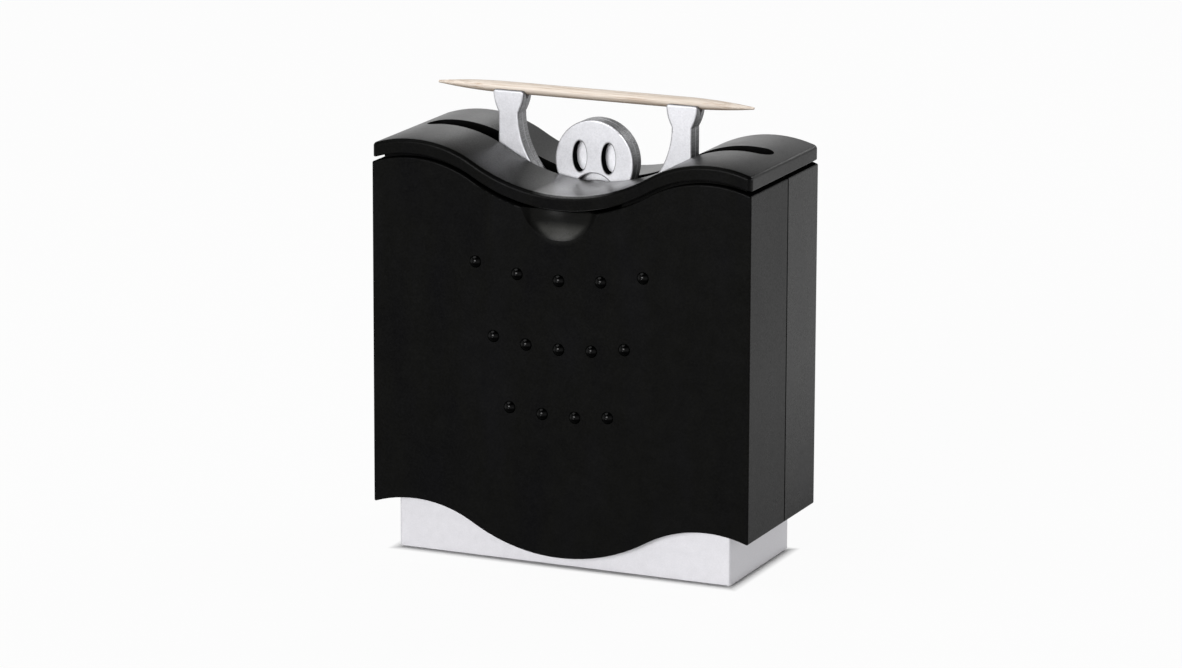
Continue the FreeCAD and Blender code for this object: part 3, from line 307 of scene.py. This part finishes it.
def scoop_highlight_and_polish(shade, tint, top_polish):
    """Painted highlight in the scoop, most of all along its upward-facing lower lip."""
    inside = shade.around(SCOOP_CENTRE, SCOOP_EDGE)
    highlight_breakup = shade.noise(0.5 * MM, detail=4.0)
    # Painted highlight on the lip, where it faces up.
    lip = shade.math("MULTIPLY", shade.around(SCOOP_CENTRE, LIP_EDGE),
                     shade.facing("Z", LIP_FACING), shade.spread(highlight_breakup, 0.76, 0.88))
    painted_light = shade.math("ADD", shade.math("MULTIPLY", inside, SCOOP_PAINTED_LIGHT), lip)
    return shade.mix(painted_light, tint, LIP_PAINTED_HIGHLIGHT), shade.math("MULTIPLY", inside, top_polish)


def stud_plastic(name, specular):
    """Glossy domes, dull underneath and around the rim, where dirt stays."""
    shade = new_shader(name)
    dirt = shade.noise(0.5 * MM, detail=2.0)
    clean = shade.math("MULTIPLY", shade.facing("Y", DOME_FACING),
                       shade.spread(shade.upward(), 0.08, 1.0, DOME_UPWARD))
    return shade.principled({
        "Base Color": shade.tones(dirt, *STUD_BLACKS),
        "Roughness": shade.spread(dirt, 0.08, 0.14),
        "Specular IOR Level": shade.math("MULTIPLY", clean, specular),
    })


def metallic_paint(shade, colour, roughness, flake, contrast):
    """Fine flakes over a faint mottle: the paint's colour, roughness and normal."""
    flakes = shade.cells(flake)
    mottle = shade.noise(1.6 * MM, detail=3.0)
    level = shade.math("ADD", shade.spread(flakes, 1 - contrast, 1 + contrast, between=(0.0, 1.0)),
                       shade.spread(mottle, -0.02, 0.02))
    return (shade.mix(1.0, colour, level, "MULTIPLY"),
            shade.spread(mottle, roughness - 0.03, roughness + 0.04),
            shade.bump(flakes, 0.001 * MM))


def silver_paint(name, colour, roughness, metallic, end_shade):
    """A painted box, a little darker on its ends, where painted shade is mixed in."""
    shade = new_shader(name)
    tint, gloss, normal = metallic_paint(shade, colour, roughness, flake=0.15 * MM, contrast=0.045)
    # Painted shade on the ends, which face sideways.
    painted_end_shade = shade.math("MULTIPLY", shade.facing("X", END_FACING), end_shade)
    return shade.principled({
        "Base Color": shade.mix(painted_end_shade, tint, PAINTED_SHADE_GREY),
        "Metallic": metallic,
        "Roughness": gloss,
        "Normal": normal,
    })


def face_shade(shade, faces):
    """Painted shade on the figure's face: on the walls and rims of the eyes, and on the mouth's
    rim.
    """
    across = shade.math("ABSOLUTE", shade.along(shade.place, "X"))
    up = shade.along(shade.place, "Z")
    wide = shade.math("DIVIDE", shade.math("SUBTRACT", across, EYE_REACH), EYE_HALF_WIDTH)
    high = shade.math("DIVIDE", shade.math("SUBTRACT", up, EYE_HEIGHT), EYE_HALF_HEIGHT)
    # 1 on the outline of an eye, and 2 on an outline of twice its size.
    outline = shade.math("SQRT", shade.math("ADD", shade.math("POWER", wide, 2.0),
                                            shade.math("POWER", high, 2.0)))
    # Painted shade on the eye walls and dark rims round the eyes and mouth.
    walls = shade.math("MULTIPLY", shade.spread(outline, 1.0, 0.0, EYE_WALL),
                       shade.math("SUBTRACT", 1.0, faces))
    rims = shade.spread(outline, RIM_DARKNESS, 0.0, EYE_RIM)
    mouth = shade.math("MULTIPLY", shade.around(MOUTH_CENTRE, MOUTH_RIM), RIM_DARKNESS)
    return walls, rims, mouth


def plate_silver(name, colour, roughness, metallic, has_holes):
    """A cut plate: painted faces, bare cut edges, and painted shade below the lid and in its holes.
    """
    shade = new_shader(name)
    tint, gloss, normal = metallic_paint(shade, colour, roughness, flake=0.26 * MM, contrast=0.075)
    faces = shade.facing("Y", PLATE_FACING)
    marks = shade.noise(0.12 * MM, detail=3.0, stretch=(1, 12, 1))
    tint = shade.mix(faces, shade.tones(marks, *CUT_METALS), tint)
    # Painted shade below the lid's top, and in and around the eyes and mouth.
    dark = shade.spread(shade.along(shade.place, "Z"), 1.0, 0.0, PAINTED_SHADE_TOP)
    if has_holes:
        dark = shade.math("MAXIMUM", dark, *face_shade(shade, faces))
    clear = shade.math("SUBTRACT", 1.0, dark)
    return shade.principled({
        "Base Color": shade.mix(dark, tint, PAINTED_SHADE_GREY),
        "Metallic": shade.math("MULTIPLY", clear, metallic),
        "Specular IOR Level": shade.math("MULTIPLY", clear, 0.5),
        "Roughness": gloss,
        "Normal": normal,
    })


def wood(name):
    """Pale birch with long fibres along X, with painted shade underneath."""
    shade = new_shader(name)
    fibres = shade.noise(0.16 * MM, detail=5.0, stretch=(60, 1, 1))
    bands = shade.noise(0.9 * MM, detail=2.0, stretch=(30, 1, 1))
    pale = shade.tones(bands, *BIRCHES)
    deep = shade.ramp(fibres, (0.28, BIRCH_FIBRE), (0.5, WHITE))
    # Painted shade on the surfaces that face down.
    painted_underside_shade = shade.ramp(shade.spread(shade.upward(), 0.0, 1.0, PICK_UPWARD),
                       (0.0, BIRCH_PAINTED_SHADE), (1.0, WHITE))
    grain = shade.mix(0.8, pale, deep, "MULTIPLY")
    return shade.principled({
        "Base Color": shade.mix(1.0, grain, painted_underside_shade, "MULTIPLY"),
        "Roughness": shade.spread(fibres, 0.55, 0.72),
        "Specular IOR Level": 0.3,
        "Normal": shade.bump(fibres, 0.03 * MM),
    })


def steel(name, tones, roughness):
    """Plated steel with fine turning marks and dull patches."""
    shade = new_shader(name)
    marks = shade.noise(0.3 * MM, detail=4.0, stretch=(1, 1, 0.2))
    patches = shade.noise(2.5 * MM, detail=2.0)
    return shade.principled({
        "Base Color": shade.tones(patches, *tones),
        "Metallic": 1.0,
        "Roughness": shade.spread(patches, roughness - 0.05, roughness + 0.1),
        "Normal": shade.bump(marks, 0.01 * MM),
    })


def rubber(name):
    """Soft pads with a matt grain."""
    shade = new_shader(name)
    grain = shade.noise(0.25 * MM, detail=4.0)
    return shade.principled({
        "Base Color": shade.tones(grain, *PAD_GREYS),
        "Roughness": shade.spread(grain, 0.75, 0.9),
        "Normal": shade.bump(grain, 0.03 * MM),
    })


def dress(material, *nodes):
    """Give every slot of the CAD nodes the material."""
    for node in nodes:
        slots = NODES[node].data.materials
        for index in range(len(slots)):
            slots[index] = material


dress(black_plastic("front_black", roughness=0.28, specular=0.045, end_polish=0.072,
                    top_polish=0.3, grain=0.003 * MM, dress_up=scoop_highlight_and_polish), "front_shell")
dress(black_plastic("rear_black", roughness=0.26, specular=0.045, end_polish=0.135,
                    top_polish=0.0, grain=0.003 * MM), "rear_shell")
dress(black_plastic("lid_black", roughness=0.3, specular=0.04, end_polish=0.12,
                    top_polish=0.41, grain=0.007 * MM, dress_up=lid_sheen_and_polish), "lid")
dress(stud_plastic("stud_black", specular=0.12), "grip_studs")
dress(black_plastic("hopper_black", roughness=0.5, specular=0.2, end_polish=0.3,
                    top_polish=0.3, grain=0.006 * MM), "hopper")
# The base's ends are darkened with painted shade.
dress(silver_paint("base_silver", BASE_PAINT, roughness=0.42, metallic=0.6, end_shade=0.14),
      "base_tub", "base_floor")
dress(plate_silver("front_silver", FRONT_PAINT, roughness=0.4, metallic=0.6, has_holes=True),
      "figure_front")
# The rear plate's lighter paint is painted light on the floors of the eyes and mouth.
dress(plate_silver("rear_silver", REAR_PAINT_AND_LIGHT, roughness=0.4, metallic=0.6, has_holes=False),
      "figure_rear")
dress(steel("screw_steel", SCREW_STEELS, roughness=0.35),
      "floor_screws", "figure_screws", "figure_nuts", "hopper_screws")
dress(steel("ballast_steel", BALLAST_STEELS, roughness=0.5), "ballast_plate")
dress(rubber("pad_rubber"), "foot_pads")
dress(wood("pick_wood"), "toothpick")


# ---------------------------------------------------------------- floor, light and camera

def add_object(name, data):
    made = bpy.data.objects.new(name, data)
    bpy.context.scene.collection.objects.link(made)
    return made


def make_floor():
    """A large pale floor that shows the camera near white, with the object's shadow on it."""
    mesh = bpy.data.meshes.new("floor")
    corners = [(-FLOOR_REACH, -FLOOR_REACH, 0), (FLOOR_REACH, -FLOOR_REACH, 0),
               (FLOOR_REACH, FLOOR_REACH, 0), (-FLOOR_REACH, FLOOR_REACH, 0)]
    mesh.from_pydata(corners, [], [(0, 1, 2, 3)])
    floor = add_object("floor", mesh)
    shade = new_shader("floor")

    def beyond(axis, half_size):
        """How far a point lies beyond the base along an axis."""
        reach = shade.math("ABSOLUTE", shade.along(shade.place, axis))
        return shade.math("MAXIMUM", shade.math("SUBTRACT", reach, half_size), 0.0)

    distance = shade.math("MAXIMUM", beyond("X", BASE_HALF_WIDTH), beyond("Y", BASE_HALF_DEPTH))
    plain = shade.spread(distance, 0.0, 1.0 - SHADOW_SHARE, CONTACT_FADE)
    rays = shade.node("LightPath").outputs
    mirrored = shade.math("MAXIMUM", rays["Is Glossy Ray"], rays["Is Transmission Ray"])
    seen = shade.math("MAXIMUM", rays["Is Camera Ray"], mirrored)
    share = shade.math("MULTIPLY", seen, plain)
    lit = shade.node("BsdfDiffuse", {"Color": (*FLOOR_COLOUR, 1.0)}).outputs[0]
    white = shade.node("Emission", {"Color": (*WHITE, 1.0), "Strength": 1.0}).outputs[0]
    mixed = shade.node("MixShader", {0: share, 1: lit, 2: white}).outputs[0]
    mesh.materials.append(shade.show(mixed))


def make_world():
    """Soft light all round, with a backdrop that is white to the camera and low in reflections."""
    world = bpy.data.worlds.new("studio")
    bpy.context.scene.world = world
    shade = Shader(world, "OutputWorld")
    height = shade.along(shade.coordinates["Generated"], "Z")
    fade = shade.ramp(height, *((place, (level, level, level)) for place, level in SKY_LEVELS))
    low = shade.spread(height, 1.0, 0.0, BACKDROP_FADE)
    rays = shade.node("LightPath").outputs
    mirrored = shade.math("MAXIMUM", rays["Is Glossy Ray"], rays["Is Transmission Ray"])
    backdrop = shade.math("MAXIMUM", rays["Is Camera Ray"],
                          shade.math("MULTIPLY", mirrored, low))
    sky = shade.node("Background", {"Color": fade}).outputs[0]
    white = shade.node("Background", {"Color": (*WHITE, 1.0)}).outputs[0]
    shade.show(shade.node("MixShader", {0: backdrop, 1: sky, 2: white}).outputs[0])


def make_lamp(name, azimuth, elevation, width, height, watts):
    """An area lamp aimed at the object."""
    lamp = bpy.data.lights.new(name, "AREA")
    lamp.shape = "RECTANGLE"
    lamp.size = width
    lamp.size_y = height
    lamp.energy = watts
    turn, rise = math.radians(azimuth), math.radians(elevation)
    away = Vector((math.sin(turn) * math.cos(rise), -math.cos(turn) * math.cos(rise),
                   math.sin(rise)))
    item = add_object(name, lamp)
    item.location = LIGHT_TARGET + away * LAMP_DISTANCE
    item.rotation_euler = away.to_track_quat("Z", "Y").to_euler()


def make_camera():
    """A camera at the photograph's viewing angle."""
    data = bpy.data.cameras.new("camera")
    data.sensor_fit = "HORIZONTAL"
    data.sensor_width = SENSOR_WIDTH
    data.lens = CAMERA_LENS
    data.clip_start = NEAREST_SEEN
    data.clip_end = FARTHEST_SEEN
    level = math.cos(CAMERA_ELEVATION)
    back = Vector((math.sin(CAMERA_AZIMUTH) * level, -math.cos(CAMERA_AZIMUTH) * level,
                   math.sin(CAMERA_ELEVATION)))
    flat_right = Vector((0, 0, 1)).cross(back).normalized()
    flat_up = back.cross(flat_right)
    right = flat_right * math.cos(CAMERA_ROLL) + flat_up * math.sin(CAMERA_ROLL)
    up = flat_up * math.cos(CAMERA_ROLL) - flat_right * math.sin(CAMERA_ROLL)
    turned = Matrix((right, up, back)).transposed()
    item = add_object("camera", data)
    item.matrix_world = Matrix.Translation(CAMERA_PLACE) @ turned.to_4x4()
    bpy.context.scene.camera = item


make_floor()
make_world()
for lamp in LAMPS:
    make_lamp(*lamp)
make_camera()
bpy.context.scene.view_settings.view_transform = "Standard"
